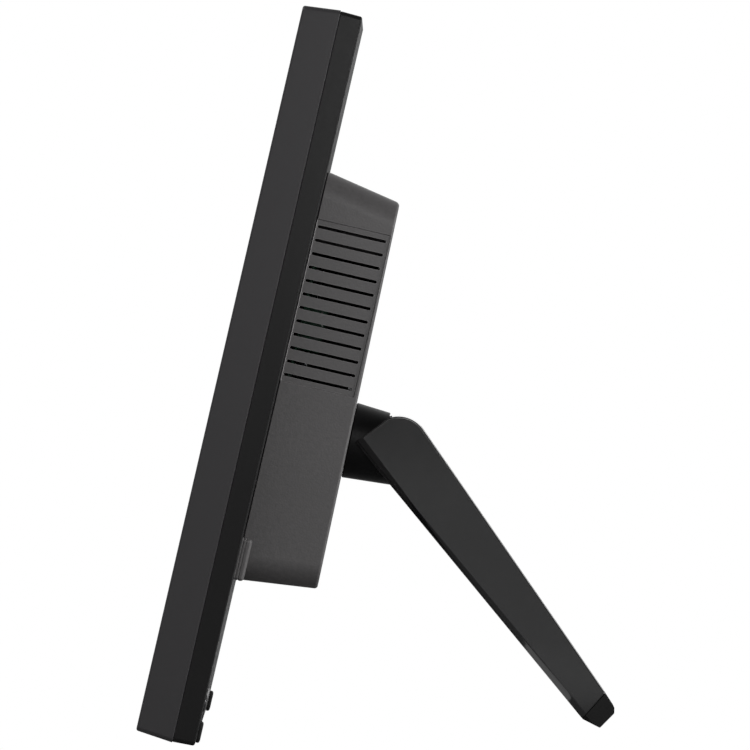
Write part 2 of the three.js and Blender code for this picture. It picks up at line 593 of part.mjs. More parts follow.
function legShell() {
  const foot = [[frontY(HEEL[1][1]), HEEL[1][1]], HEEL[0]];
  const outer = sideProfile(legOutline(0, CROWN_END, LEG_TOP, foot), -LEG_HALF, LEG_HALF, 8);
  const floor = [[-30, END_WALL], [rearY(END_WALL) - LEG_WALL, END_WALL]];
  const cavity = sideProfile(legOutline(LEG_WALL, Math.PI / 3, 30, floor), -HOLLOW, HOLLOW, 8);
  const mouth = new THREE.BoxGeometry(2 * HOLLOW, 40, 170).translate(0, frontY(-39) - 15, -39);
  const posts = LEG_SCREWS_Z.map((z) => bar(3.4, frontY(z) + COVER.t + 0.6, rearY(z) - 1, 0, z));
  const shell = solid(outer).subtract(solid(cavity)).subtract(solid(mouth));
  const posted = posts.reduce((body, post) => body.add(solid(post)), shell);
  return narrow(carve(bevelled(posted), ...legHoles(-40, 5)));
}

mesh('leg_shell', legShell(), glossPlastic, leg);

function legFrontCover() {
  const strip = outline([
    [frontY(COVER.bottom), COVER.bottom],
    [frontY(COVER.bottom) + COVER.t, COVER.bottom],
    [frontY(COVER.top) + COVER.t, COVER.top],
    [frontY(COVER.top), COVER.top],
  ]);
  const recesses = LEG_SCREWS_Z.map((z) => bar(3.3, -40, frontY(z) + 1, 0, z, 16));
  const body = solid(sideProfile(strip, GAP - HOLLOW, HOLLOW - GAP));
  return narrow(carve(body, ...legHoles(-40, 20), ...recesses));
}

mesh('leg_front_cover', legFrontCover(), glossPlastic, leg);
LEG_SCREWS_Z.forEach((z, i) => {
  const pointingBack = screw(0, 0, 0, 9, 2.8, 0.7).rotateZ(Math.PI);
  mesh(`leg_screw_${i + 1}`, pointingBack.translate(0, frontY(z), z), darkSteel, leg);
});

function legFoot() {
  const tip = outline([
    [frontY(HEEL[1][1]), HEEL[1][1] - 0.4],
    [0, -LEG_REACH],
    [8, -136.2],
    [9.4, -134.4],
    [HEEL[0][0] - 0.05, HEEL[0][1] - 0.4],
  ]);
  return narrow(toGeometry(bevelled(solid(sideProfile(tip, -LEG_HALF, LEG_HALF)))));
}

mesh('leg_foot', legFoot(), rubber, leg);

// ---------------------------------------------------------------- hinge
const EAR = { inner: 10.2, t: 1.6, r: 5.9, end: -52 };
const PIN_HOLE = crossBar(PIN_R + GAP, -30, 30, 0, 0, 16);

// A strip along the inside of the leg's rear wall, with an ear on each side of the knuckle.
function hingeBracket() {
  const rear = (z) => rearY(z) - LEG_WALL - GAP;
  const strip = outline([[-4, EAR.end], [rear(EAR.end), EAR.end], [rear(-8), -8], [5, 0], [-5, 0]]);
  const ears = [-EAR.inner - EAR.t, EAR.inner].map((x0) =>
    solid(sideProfile(strip, x0, x0 + EAR.t)).add(solid(crossBar(EAR.r, x0, x0 + EAR.t, 0, 0, 20))));
  const back = outline([
    [rear(EAR.end) - EAR.t, EAR.end],
    [rear(EAR.end), EAR.end],
    [rear(-16), -16],
    [rear(-16) - EAR.t, -16],
  ]);
  const base = solid(sideProfile(back, -EAR.inner - EAR.t, EAR.inner + EAR.t));
  return carve(ears[0].add(base).add(ears[1]), PIN_HOLE);
}

mesh('hinge_bracket', hingeBracket(), steel, leg);
const outside = EAR.inner + EAR.t + GAP; // just outside the ears
mesh('hinge_pin', toGeometry(joined(
  crossBar(PIN_R, -12.5, 14.4, 0, 0, 16),
  crossBar(4.4, -outside - 2.3, -outside, 0, 0, 16),
)), steel, leg);
mesh('hinge_nut', carve(solid(crossBar(4.9, outside, outside + 2.2, 0, 0, 6)), PIN_HOLE), steel, leg);
for (const [side, x] of [['left', GAP - EAR.inner], ['right', KNUCKLE_HALF + GAP]]) {
  const ring = solid(crossBar(5.8, x, x + 0.9, 0, 0, 20));
  mesh(`friction_washer_${side}`, carve(ring, PIN_HOLE), steel, leg);
}

// ---------------------------------------------------------------- origin on the surface
photoFrame.updateMatrixWorld(true);
const bounds = new THREE.Box3().setFromObject(photoFrame, true);
const middle = bounds.getCenter(new THREE.Vector3());
photoFrame.position.set(-middle.x, -middle.y, -bounds.min.z);

export default photoFrame;
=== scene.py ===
"""A digital photo frame on its hinged leg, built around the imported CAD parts.

The panel leans back, so its pieces are drawn in the panel's own axes: x across, y backwards from the
front face, z up the panel. The leg's pieces are drawn in axes that start at the hinge: x across,
y towards the leg's rear edge, z up along the leg. Both sets of axes are in millimetres. The camera,
the lights and the materials are in metres.
"""
import math
import json

import bmesh
import bpy
from mathutils import Matrix, Vector


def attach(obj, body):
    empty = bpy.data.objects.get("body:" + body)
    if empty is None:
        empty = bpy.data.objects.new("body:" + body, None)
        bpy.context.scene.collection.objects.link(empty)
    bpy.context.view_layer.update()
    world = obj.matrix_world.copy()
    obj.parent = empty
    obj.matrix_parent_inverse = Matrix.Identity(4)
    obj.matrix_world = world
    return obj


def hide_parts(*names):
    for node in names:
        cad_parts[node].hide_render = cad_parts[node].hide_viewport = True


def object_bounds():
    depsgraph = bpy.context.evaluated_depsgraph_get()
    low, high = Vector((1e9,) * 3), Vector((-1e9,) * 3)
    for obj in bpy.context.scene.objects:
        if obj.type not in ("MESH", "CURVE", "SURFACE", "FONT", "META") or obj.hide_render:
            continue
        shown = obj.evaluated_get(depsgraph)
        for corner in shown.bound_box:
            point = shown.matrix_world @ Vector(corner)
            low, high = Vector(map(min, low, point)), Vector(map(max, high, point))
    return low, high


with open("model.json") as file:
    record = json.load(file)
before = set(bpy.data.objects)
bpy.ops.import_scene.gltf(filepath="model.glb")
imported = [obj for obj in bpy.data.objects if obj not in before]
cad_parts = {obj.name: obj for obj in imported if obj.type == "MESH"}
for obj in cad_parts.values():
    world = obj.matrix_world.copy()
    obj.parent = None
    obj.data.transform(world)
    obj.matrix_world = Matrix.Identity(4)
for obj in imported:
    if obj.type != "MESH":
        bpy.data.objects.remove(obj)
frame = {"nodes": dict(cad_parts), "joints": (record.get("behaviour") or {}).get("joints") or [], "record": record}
cad_low, cad_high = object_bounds()
nodes = frame["nodes"]
joints = {joint["name"]: joint for joint in frame["joints"]}
MM = 0.001

# ---------------------------------------------------------------- the panel's and the leg's axes
ACROSS = Vector((1, 0, 0))
BACK = -Vector(joints["play_press"]["axis"]).normalized()
UP = ACROSS.cross(BACK)
HINGE = Vector(joints["leg_hinge"]["pos_m"])
LEG_REACH = 137.6  # hinge axis to the foot's lowest edge


def axes(origin, back, up):
    matrix = (Matrix((ACROSS, back, up)).transposed() * MM).to_4x4()
    matrix.translation = origin
    return matrix


def extents(node, matrix):
    """Lowest and highest corner of a CAD node, measured along the given axes."""
    inverse = matrix.inverted()
    points = [inverse @ v.co for v in nodes[node].data.vertices]
    low = Vector([min(p[i] for p in points) for i in range(3)])
    high = Vector([max(p[i] for p in points) for i in range(3)])
    return low, high


corner, _ = extents("front_bezel", axes(Vector(), BACK, UP))
PANEL = axes((BACK * corner.y + UP * corner.z) * MM, BACK, UP)
lean = math.acos(HINGE.z / (LEG_REACH * MM))
leg_back = Vector((0, math.cos(lean), math.sin(lean)))
LEG = axes(HINGE, leg_back, ACROSS.cross(leg_back))


def panel_box(node):
    return extents(node, PANEL)


def middle(node):
    """The (x, z) middle of a node, in the panel's axes."""
    low, high = panel_box(node)
    return (low.x + high.x) / 2, (low.z + high.z) / 2


def middles(name, count):
    return [middle(f"{name}_{i + 1}") for i in range(count)]


# ---------------------------------------------------------------- materials
def new_material(name):
    material = bpy.data.materials.new(name)
    material.use_nodes = True
    tree = material.node_tree
    return material, tree, tree.nodes["Principled BSDF"]


def node(tree, kind, **inputs):
    made = tree.nodes.new(kind)
    for key, value in inputs.items():
        made.inputs[key.replace("_", " ")].default_value = value
    return made


def ramp(tree, source, stops):
    """A colour ramp whose stops are (position, grey value)."""
    made = tree.nodes.new("ShaderNodeValToRGB")
    elements = made.color_ramp.elements
    while len(elements) < len(stops):
        elements.new(0.5)
    for element, (position, value) in zip(elements, stops):
        element.position = position
        element.color = (value, value, value, 1)
    tree.links.new(source, made.inputs["Fac"])
    return made.outputs["Color"]


def mixed(tree, amount, first, second):
    """Mixes two colours, each a tuple or an output, by an amount that is a number or an output."""
    made = tree.nodes.new("ShaderNodeMix")
    made.data_type = "RGBA"
    for socket, value in ((made.inputs[0], amount), (made.inputs[6], first), (made.inputs[7], second)):
        if isinstance(value, bpy.types.NodeSocket):
            tree.links.new(value, socket)
        elif isinstance(value, (int, float)):
            socket.default_value = value
        else:
            socket.default_value = (*value, 1)
    return made.outputs[2]


def shade(color, factor):
    return tuple(channel * factor for channel in color)


def edge_mask(tree, width):
    """1 along edges and 0 on flat faces, from how far a rounded-off normal turns away from the surface's."""
    rounded_off = node(tree, "ShaderNodeBevel", Radius=width)
    rounded_off.samples = 4
    surface = tree.nodes.new("ShaderNodeNewGeometry")
    compare = tree.nodes.new("ShaderNodeVectorMath")
    compare.operation = "DOT_PRODUCT"
    tree.links.new(rounded_off.outputs[0], compare.inputs[0])
    tree.links.new(surface.outputs["Normal"], compare.inputs[1])
    return ramp(tree, compare.outputs["Value"], [(0.86, 1), (0.985, 0)])


def moulded(name, color, roughness, grain=0.7 * MM, relief=0.02 * MM, vary=0.12, wear_and_highlight=0.5, specular=0.5):
    """Moulded plastic or rubber: cloudy colour, an even grain, and edges painted lighter, partly as rubbed wear
    and partly as a painted highlight.
    """
    material, tree, shader = new_material(name)
    place = tree.nodes.new("ShaderNodeTexCoord").outputs["Object"]
    clouds = node(tree, "ShaderNodeTexNoise", Scale=28.0, Detail=4.0, Roughness=0.55)
    fine = node(tree, "ShaderNodeTexNoise", Scale=0.5 / grain, Detail=3.0, Roughness=0.6)
    pits = node(tree, "ShaderNodeTexVoronoi", Scale=1 / grain)
    for texture in (clouds, fine, pits):
        tree.links.new(place, texture.inputs["Vector"])
    cloudy = mixed(tree, clouds.outputs["Fac"], shade(color, 1 - vary), shade(color, 1 + vary))
    specks = ramp(tree, fine.outputs["Fac"], [(0.35, 0), (0.65, 1)])
    speckled = mixed(tree, specks, shade(color, 1 - vary), cloudy)
    # Edges are painted lighter: partly rubbed wear, partly a painted highlight for the light lines that edges
    # catch.
    lighter_edges = mixed(tree, edge_mask(tree, 0.5 * MM), speckled, shade(color, 1 + wear_and_highlight))
    tree.links.new(lighter_edges, shader.inputs["Base Color"])
    rough = ramp(tree, fine.outputs["Fac"], [(0.3, roughness * 0.88), (0.7, min(1, roughness * 1.12))])
    tree.links.new(rough, shader.inputs["Roughness"])
    height = mixed(tree, 0.5, pits.outputs["Distance"], fine.outputs["Fac"])
    bump = node(tree, "ShaderNodeBump", Strength=1.0, Distance=relief)
    tree.links.new(height, bump.inputs["Height"])
    tree.links.new(bump.outputs["Normal"], shader.inputs["Normal"])
    shader.inputs["Specular IOR Level"].default_value = specular
    return material


def polished(name, color, roughness=0.12, coat=0.6, haze=0.25):
    """High-gloss plastic: a clear coat over black, with faint swirls and handling haze."""
    material, tree, shader = new_material(name)
    place = tree.nodes.new("ShaderNodeTexCoord").outputs["Object"]
    swirl = node(tree, "ShaderNodeTexNoise", Scale=55.0, Detail=6.0, Roughness=0.7, Distortion=0.6)
    orange_peel = node(tree, "ShaderNodeTexNoise", Scale=420.0, Detail=2.0)
    for texture in (swirl, orange_peel):
        tree.links.new(place, texture.inputs["Vector"])
    cloudy = mixed(tree, swirl.outputs["Fac"], shade(color, 0.85), shade(color, 1.2))
    lighter_edges = mixed(tree, edge_mask(tree, 0.4 * MM), cloudy, shade(color, 1.6))
    tree.links.new(lighter_edges, shader.inputs["Base Color"])
    rough = ramp(tree, swirl.outputs["Fac"], [(0.35, roughness * (1 - haze)), (0.7, roughness * (1 + haze))])
    tree.links.new(rough, shader.inputs["Roughness"])
    bump = node(tree, "ShaderNodeBump", Strength=0.6, Distance=0.004 * MM)
    tree.links.new(orange_peel.outputs["Fac"], bump.inputs["Height"])
    tree.links.new(bump.outputs["Normal"], shader.inputs["Normal"])
    shader.inputs["Coat Weight"].default_value = coat
    shader.inputs["Coat Roughness"].default_value = 0.06
    return material


def metal(name, color, roughness, brush=(40, 40, 900), relief=0.003 * MM):
    """Metal with a brushed or rolled grain that is long across the brush's low scales."""
    material, tree, shader = new_material(name)
    place = tree.nodes.new("ShaderNodeTexCoord").outputs["Object"]
    stretch = node(tree, "ShaderNodeMapping", Scale=brush)
    tree.links.new(place, stretch.inputs["Vector"])
    lines = node(tree, "ShaderNodeTexNoise", Scale=1.0, Detail=5.0, Roughness=0.65)
    tree.links.new(stretch.outputs["Vector"], lines.inputs["Vector"])
    tarnish = node(tree, "ShaderNodeTexNoise", Scale=90.0, Detail=3.0)
    tree.links.new(place, tarnish.inputs["Vector"])
    toned = mixed(tree, tarnish.outputs["Fac"], shade(color, 0.8), shade(color, 1.1))
    tree.links.new(mixed(tree, lines.outputs["Fac"], shade(color, 0.85), toned), shader.inputs["Base Color"])
    rough = ramp(tree, lines.outputs["Fac"], [(0.3, roughness * 0.75), (0.7, min(1, roughness * 1.3))])
    tree.links.new(rough, shader.inputs["Roughness"])
    bump = node(tree, "ShaderNodeBump", Strength=1.0, Distance=relief)
    tree.links.new(lines.outputs["Fac"], bump.inputs["Height"])
    tree.links.new(bump.outputs["Normal"], shader.inputs["Normal"])
    shader.inputs["Metallic"].default_value = 1.0
    return material


def window_glass(name):
    """Clear glass with a trace of dust and wiping marks."""
    material, tree, shader = new_material(name)
    place = tree.nodes.new("ShaderNodeTexCoord").outputs["Object"]
    wipes = node(tree, "ShaderNodeTexNoise", Scale=14.0, Detail=7.0, Roughness=0.7, Distortion=1.2)
    tree.links.new(place, wipes.inputs["Vector"])
    rough = ramp(tree, wipes.outputs["Fac"], [(0.45, 0.015), (0.8, 0.07)])
    tree.links.new(rough, shader.inputs["Roughness"])
    tint = mixed(tree, wipes.outputs["Fac"], (0.90, 0.93, 0.94), (0.97, 0.98, 0.98))
    tree.links.new(tint, shader.inputs["Base Color"])
    shader.inputs["Transmission Weight"].default_value = 1.0
    shader.inputs["IOR"].default_value = 1.5
    return material


def pixel_black(name, pitch=0.297 * MM):
    """A switched-off LCD: near black, with the faint square grid of its pixels."""
    material, tree, shader = new_material(name)
    place = tree.nodes.new("ShaderNodeTexCoord").outputs["Object"]
    grid = node(tree, "ShaderNodeTexBrick", Scale=1 / pitch, Color1=(0.010, 0.011, 0.014, 1),
                Color2=(0.014, 0.012, 0.016, 1), Mortar=(0.002, 0.002, 0.002, 1))
    grid.offset = 0
    grid.inputs["Brick Width"].default_value = 1.0
    grid.inputs["Row Height"].default_value = 1.0
    grid.inputs["Mortar Size"].default_value = 0.08
    tree.links.new(place, grid.inputs["Vector"])
    clouds = node(tree, "ShaderNodeTexNoise", Scale=9.0, Detail=2.0)
    tree.links.new(place, clouds.inputs["Vector"])
    tinted = mixed(tree, clouds.outputs["Fac"], grid.outputs["Color"], (0.008, 0.009, 0.013))
    tree.links.new(tinted, shader.inputs["Base Color"])
    tree.links.new(ramp(tree, clouds.outputs["Fac"], [(0.3, 0.3), (0.7, 0.4)]), shader.inputs["Roughness"])
    return material


def circuit_board(name, color):
    """Solder mask with traces under it, drawn as the walls between rounded cells, and tinned pads."""
    material, tree, shader = new_material(name)
    place = tree.nodes.new("ShaderNodeTexCoord").outputs["Object"]
    cells = node(tree, "ShaderNodeTexVoronoi", Scale=170.0)
    cells.distance = "MANHATTAN"
    cells.feature = "F1"
    pads = node(tree, "ShaderNodeTexVoronoi", Scale=310.0)
    pads.distance = "CHEBYCHEV"
    for texture in (cells, pads):
        tree.links.new(place, texture.inputs["Vector"])
    traces = ramp(tree, cells.outputs["Distance"], [(0.42, 0), (0.46, 1)])
    masked = mixed(tree, traces, color, shade(color, 2.1))
    tinned = ramp(tree, pads.outputs["Distance"], [(0.1, 0.8), (0.14, 0)])
    tree.links.new(mixed(tree, tinned, masked, (0.55, 0.56, 0.55)), shader.inputs["Base Color"])
    tree.links.new(tinned, shader.inputs["Metallic"])
    rough = ramp(tree, cells.outputs["Distance"], [(0.3, 0.32), (0.6, 0.5)])
    tree.links.new(rough, shader.inputs["Roughness"])
    bump = node(tree, "ShaderNodeBump", Strength=1.0, Distance=0.03 * MM)
    tree.links.new(traces, bump.inputs["Height"])
    tree.links.new(bump.outputs["Normal"], shader.inputs["Normal"])
    return material


# The lighter edges of the bezel, cover and box plastics are partly a painted highlight along their edges; the
# cover's strong edge lightening is almost all painted highlight.
FINISHES = {
    "bezel_plastic": moulded("bezel_plastic", (0.0235, 0.0222, 0.024), 0.45, grain=0.45 * MM,
                             relief=0.008 * MM, vary=0.06, wear_and_highlight=0.9, specular=0.35),
    "cover_plastic": moulded("cover_plastic", (0.006, 0.0058, 0.006), 0.36, grain=0.5 * MM,
                             relief=0.01 * MM, vary=0.1, wear_and_highlight=5, specular=0.16),
    "box_plastic": moulded("box_plastic", (0.079, 0.0755, 0.0765), 0.5, grain=0.8 * MM, relief=0.05 * MM,
                           vary=0.16, wear_and_highlight=1.1),
    "gloss_black": polished("gloss_black", (0.008, 0.008, 0.0084), coat=0.9),
    # A darker, matte copy of the neck's gloss black plastic, which paints the shade the neck sits in between the
    # box and the leg.
    "neck_shaded_black": moulded("neck_shaded_black", (0.004, 0.004, 0.0042), 0.4, grain=0.5 * MM, relief=0.006 * MM,
                          specular=0.15),
    "key_plastic": polished("key_plastic", (0.014, 0.014, 0.015), roughness=0.3, coat=0.1),
    "rubber": moulded("rubber", (0.013, 0.013, 0.013), 0.8, grain=0.5 * MM, relief=0.03 * MM,
                      vary=0.2, specular=0.25),
    "screen_glass": window_glass("screen_glass"),
    "lcd_black": pixel_black("lcd_black"),
    "white_plastic": moulded("white_plastic", (0.72, 0.72, 0.7), 0.45, vary=0.04, wear_and_highlight=0.1),
    "dark_steel": metal("dark_steel", (0.09, 0.09, 0.095), 0.4),
    "steel": metal("steel", (0.45, 0.45, 0.46), 0.35),
    "aluminium": metal("aluminium", (0.6, 0.61, 0.62), 0.4, brush=(500, 30, 30)),
    "circuit_board": circuit_board("circuit_board", (0.008, 0.05, 0.025)),
    "chip_plastic": moulded("chip_plastic", (0.02, 0.02, 0.021), 0.55, grain=0.3 * MM),
}

# ---------------------------------------------------------------- shape tools
SMOOTH_ANGLE = math.radians(32)


def rounded(corners, steps=4, closed=True):
    """Points of a path of (u, v, radius) corners, with an arc wherever a corner has a radius."""
    points = []
    for i, (u, v, radius) in enumerate(corners):
        here = Vector((u, v))
        at_end = not closed and i in (0, len(corners) - 1)
        if radius == 0 or at_end:
            points.append(here)
            continue
        before = (Vector(corners[i - 1][:2]) - here).normalized()
        after = (Vector(corners[(i + 1) % len(corners)][:2]) - here).normalized()
        half = before.angle(after) / 2
        centre = here + (before + after).normalized() * (radius / math.sin(half))
        start = here + before * (radius / math.tan(half)) - centre
        end = here + after * (radius / math.tan(half)) - centre
        turn = start.angle(end)
        for k in range(steps + 1):
            t = k / steps
            arm = start * math.sin((1 - t) * turn) + end * math.sin(t * turn)
            points.append(centre + arm / math.sin(turn))
    return points


def outline(w, h, r, x=0.0, z=0.0, steps=6):
    """A rounded rectangle as (x, z) points."""
    a, b = w / 2, h / 2
    square = [(-a, -b, r), (a, -b, r), (a, b, r), (-a, b, r)]
    return [Vector((x + p.x, z + p.y)) for p in rounded(square, steps)]


def circle(radius, u=0.0, v=0.0, sides=32):
    turns = [2 * math.pi * i / sides for i in range(sides)]
    return [Vector((u + radius * math.cos(a), v + radius * math.sin(a))) for a in turns]


def to_object(name, bm, matrix):
    bmesh.ops.remove_doubles(bm, verts=bm.verts, dist=1e-4)
    bmesh.ops.recalc_face_normals(bm, faces=bm.faces)
    bm.transform(matrix)
    mesh = bpy.data.meshes.new(name)
    bm.to_mesh(mesh)
    bm.free()
    made = bpy.data.objects.new(name, mesh)
    bpy.context.scene.collection.objects.link(made)
    return made


def add_loft(bm, rings, joined=False):
    """Skins rings that have the same number of points. A joined loft closes on itself, others are capped."""
    rows = [[bm.verts.new(p) for p in ring] for ring in rings]
    pairs = list(zip(rows, rows[1:]))
    if joined:
        pairs.append((rows[-1], rows[0]))
    for first, second in pairs:
        for i in range(len(first)):
            j = (i + 1) % len(first)
            bm.faces.new((first[i], first[j], second[j], second[i]))
    if not joined:
        bm.faces.new(rows[0])
        bm.faces.new(rows[-1][::-1])


def loft(name, rings, matrix=PANEL, joined=False):
    bm = bmesh.new()
    add_loft(bm, rings, joined)
    return to_object(name, bm, matrix)


def stack(section, profile):
    """Rings of a moulded solid: section(inset) gives (x, z) points, and profile is (inset, y) points."""
    return [[Vector((p.x, y, p.y)) for p in section(inset)] for inset, y in profile]


def moulding(w, h, r, profile, x=0.0, z=0.0, steps=6):
    """Rings of a rounded bar that runs backwards and is inset by the profile's (inset, y) points."""
    return stack(lambda i: outline(w - 2 * i, h - 2 * i, max(r - i, 0.2), x, z, steps), profile)


def turned(profile, x=0.0, z=0.0, sides=32):
    """Rings of a solid turned about an axis that runs backwards. The profile is (radius, y) points."""
    return [[Vector((p.x, y, p.y)) for p in circle(radius, x, z, sides)] for radius, y in profile]


def upright(points, z0, z1):
    """The two rings of a bar that runs up from z0 to z1, from its outline in plan."""
    return [[Vector((p.x, p.y, z)) for p in points] for z in (z0, z1)]


def side_solid(points, x0, x1):
    """The two rings of a side view of (y, z) points that runs across from x0 to x1."""
    return [[Vector((x, p[0], p[1])) for p in points] for x in (x0, x1)]


def block(x0, x1, y0, y1, z0, z1):
    return side_solid([(y0, z0), (y1, z0), (y1, z1), (y0, z1)], x0, x1)


def apply_modifiers(piece):
    graph = bpy.context.evaluated_depsgraph_get()
    mesh = bpy.data.meshes.new_from_object(piece.evaluated_get(graph))
    piece.modifiers.clear()
    piece.data = mesh


def combine(piece, solids, operation, matrix=PANEL):
    """Joins solids to a piece or cuts them out of it. Each solid is a list of rings."""
    bm = bmesh.new()
    for rings in solids:
        add_loft(bm, rings)
    tool = to_object("tool", bm, matrix)
    modifier = piece.modifiers.new("combine", "BOOLEAN")
    modifier.operation = operation
    modifier.object = tool
    modifier.solver = "EXACT"
    modifier.use_self = operation == "UNION"
    apply_modifiers(piece)
    bpy.data.objects.remove(tool)
    return piece


def cut(piece, solids, matrix=PANEL):
    return combine(piece, solids, "DIFFERENCE", matrix)


def join(piece, solids, matrix=PANEL):
    return combine(piece, solids, "UNION", matrix)


def clean(piece):
    """Merges the slivers that cutting leaves and dissolves edges inside flat faces."""
    bm = bmesh.new()
    bm.from_mesh(piece.data)
    bmesh.ops.remove_doubles(bm, verts=bm.verts, dist=0.01 * MM)
    bmesh.ops.dissolve_limit(bm, angle_limit=math.radians(0.6), verts=bm.verts, edges=bm.edges)
    bm.to_mesh(piece.data)
    bm.free()


def soften(piece, width, segments=2):
    """Rounds the sharp edges with a bevel and shades the rest smoothly."""
    bevel = piece.modifiers.new("bevel", "BEVEL")
    bevel.width = width
    bevel.segments = segments
    bevel.limit_method = "ANGLE"
    bevel.angle_limit = SMOOTH_ANGLE
    bevel.use_clamp_overlap = True
    bevel.miter_outer = "MITER_ARC"
    apply_modifiers(piece)
    return smooth(piece)


def smooth(piece):
    for polygon in piece.data.polygons:
        polygon.use_smooth = True
    piece.data.set_sharp_from_angle(angle=SMOOTH_ANGLE)
    weighted = piece.modifiers.new("weighted", "WEIGHTED_NORMAL")
    weighted.keep_sharp = True
    weighted.weight = 100
    return piece


def dress(piece, slot_name, body, *replaced):
    piece.data.materials.clear()
    piece.data.materials.append(FINISHES[slot_name])
    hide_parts(*replaced)
    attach(piece, body)
    return piece


# ---------------------------------------------------------------- the CAD nodes that stay
def carry_over():
    """Every CAD node gets its slot's material and small round edges."""
    slots = {part["node"]: part["material_slot"] for part in frame["record"]["subparts"]}
    for name, part in nodes.items():
        for material_slot in part.material_slots:
            material_slot.material = FINISHES[slots[name]]
        weld = part.modifiers.new("weld", "WELD")
        weld.merge_threshold = 0.002 * MM
        flatten = part.modifiers.new("flatten", "DECIMATE")
        flatten.decimate_type = "DISSOLVE"
        flatten.angle_limit = math.radians(0.5)
        bevel = part.modifiers.new("bevel", "BEVEL")
        bevel.width = 0.2 * MM
        bevel.segments = 2
        bevel.limit_method = "ANGLE"
        bevel.angle_limit = SMOOTH_ANGLE


carry_over()

# ---------------------------------------------------------------- screen housing
SEAM_Y = 14.8  # where the bezel meets the rear cover
REAR_Y = 23.4  # the rear cover's rear face
SEAM_DEPTH = 0.45  # of the groove between the two
OUTER_CORNER, INNER_CORNER = 1.8, 1.2  # radii of the housing's corners and of its innermost inset's
COVER_RIM = 6  # the rear cover's profile goes in this far
COVER_WINDOW = (226, 132, 6)  # width, height and corner radius of the opening under the electronics box
SCREW_HOLE = 1.8  # radius of the holes that screws pass through
COVER_SCREWS = middles("cover_screw", 4)
BOX_SCREWS = middles("box_screw", 4)
KEYS = ["power", "menu", "back", "previous", "next", "play"]


def housing_section(border):
    """
    The housing's outline as a function of its inset. The border is how far in the insets go across and
    upwards, which differ a little at the screen's window.
    """
    low, high = panel_box("front_bezel")
    w, h = high.x - low.x, high.z - low.z

    def section(inset):
        share = inset / border[0]
        corner_radius = OUTER_CORNER - (OUTER_CORNER - INNER_CORNER) * share
        return outline(w - 2 * inset, h - 2 * border[1] * share, corner_radius, 0, h / 2)

    return section


def make_bezel():
    outer, _ = panel_box("front_bezel")
    glass, _ = panel_box("screen_window")
    border = (glass.x - outer.x + 4, glass.z - outer.z + 4)
    profile = rounded([
        (SEAM_DEPTH, SEAM_Y - 0.01, 0), (0.02, SEAM_Y - 0.22, 0.1), (1.4, 0, 0.9),
        (border[0] - 1.2, 0, 0.35), (border[0], 1.1, 0.2), (border[0], 2, 0.1), (3.6, 2, 0.6),
        (3.6, SEAM_Y - 0.01, 0.1),
    ], 3)
    bezel = loft("bezel", stack(housing_section(border), profile), joined=True)
    join(bezel, [turned([(4, 1), (4, SEAM_Y - 1)], x, z) for x, z in COVER_SCREWS])
    infrared = middle("ir_window")
    opening = moulding(11.4, 4.8, 1.5, [(-0.6, -0.2), (0, 0.4), (0, 4)], *infrared)
    cut(bezel, [opening] + [turned([(SCREW_HOLE, 7.4), (SCREW_HOLE, 20)], x, z) for x, z in COVER_SCREWS])
    return dress(smooth(bezel), "bezel_plastic", "housing", "front_bezel")


def opening_in_rear(w, h, r, x, z, flare=0.4):
    """A cutter through the rear cover whose mouth is chamfered."""
    walls = [(0, REAR_Y - 6), (0, REAR_Y - flare), (-1.5 * flare, REAR_Y + flare / 2)]
    return moulding(w, h, r, walls, x, z)


def make_rear_cover():
    profile = rounded([
        (4, REAR_Y, 0), (0.6, REAR_Y, 0.9), (0.3, SEAM_Y + 0.24, 0.1), (SEAM_DEPTH, SEAM_Y + 0.01, 0),
        (3.2, SEAM_Y + 0.01, 0.1), (3.2, REAR_Y - 2.2, 0.8), (COVER_RIM, REAR_Y - 2.2, 0),
    ], 3, closed=False)
    cover = loft("back_cover", stack(housing_section((COVER_RIM, COVER_RIM)), profile))
    join(cover, [turned([(5, SEAM_Y + 0.5), (5, REAR_Y - 1)], x, z) for x, z in COVER_SCREWS])
    rocker_x, rocker_z = middle("select_rocker")
    openings = [
        moulding(*COVER_WINDOW, [(0, 10), (0, 30)], 0, 145),
        opening_in_rear(10.8, 17.8, 1.5, rocker_x, rocker_z),
    ]
    openings += [opening_in_rear(10.7, 7.7, 3.7, *middle(f"{key}_button")) for key in KEYS]
    for side in ("left", "right"):
        x, z = middle(f"speaker_{side}")
        openings += [opening_in_rear(32, 1.6, 0.79, x, z + 4 * row, 0.2) for row in (-2, -1, 0, 1, 2)]
    wells = [(SCREW_HOLE, 0), (SCREW_HOLE, REAR_Y - 3.4), (3.4, REAR_Y - 3.4), (3.4, REAR_Y - 0.3),
             (3.9, REAR_Y + 0.2)]
    cut(cover, openings + [turned(wells, x, z) for x, z in COVER_SCREWS])
    return dress(smooth(cover), "cover_plastic", "housing", "rear_cover")


# ---------------------------------------------------------------- electronics box
BOX_DEPTH = (23.7, 54.9)
BOX_BOTTOM, BOX_TOP = (64.8, 68.3), (228.2, 222.5)  # heights at the box's front and at its rear
BOX_WIDTH, BOX_TAPER = 246, 3  # the width at its front, and how much narrower it is at its rear
BOX_CORNER = 10
BOX_WALL = 2.2
WEDGE = 0.0157  # the rear face comes forward this much per millimetre of height
BOX_MIDDLE = 146.5
SLOTS = {"count": 12, "pitch": 5.38, "top": 206.7, "height": 1.2, "y": (24.5, 51.9)}
FIELD = {"y": (24.05, 53), "margin": 2.6, "depth": 0.4}  # the shallow recess around the slots


def box_ring(inset, y):
    """The box's outline at a depth. It drafts in towards the rear, more at its top and bottom."""
    share = (y - BOX_DEPTH[0]) / (BOX_DEPTH[1] - BOX_DEPTH[0])
    low = BOX_BOTTOM[0] + (BOX_BOTTOM[1] - BOX_BOTTOM[0]) * share + inset
    high = BOX_TOP[0] + (BOX_TOP[1] - BOX_TOP[0]) * share - inset
    w = BOX_WIDTH - BOX_TAPER * share - 2 * inset
    ring = outline(w, high - low, BOX_CORNER - inset, 0, (low + high) / 2, steps=10)
    return [Vector((p.x, y - share * WEDGE * (p.y - BOX_MIDDLE), p.y)) for p in ring]


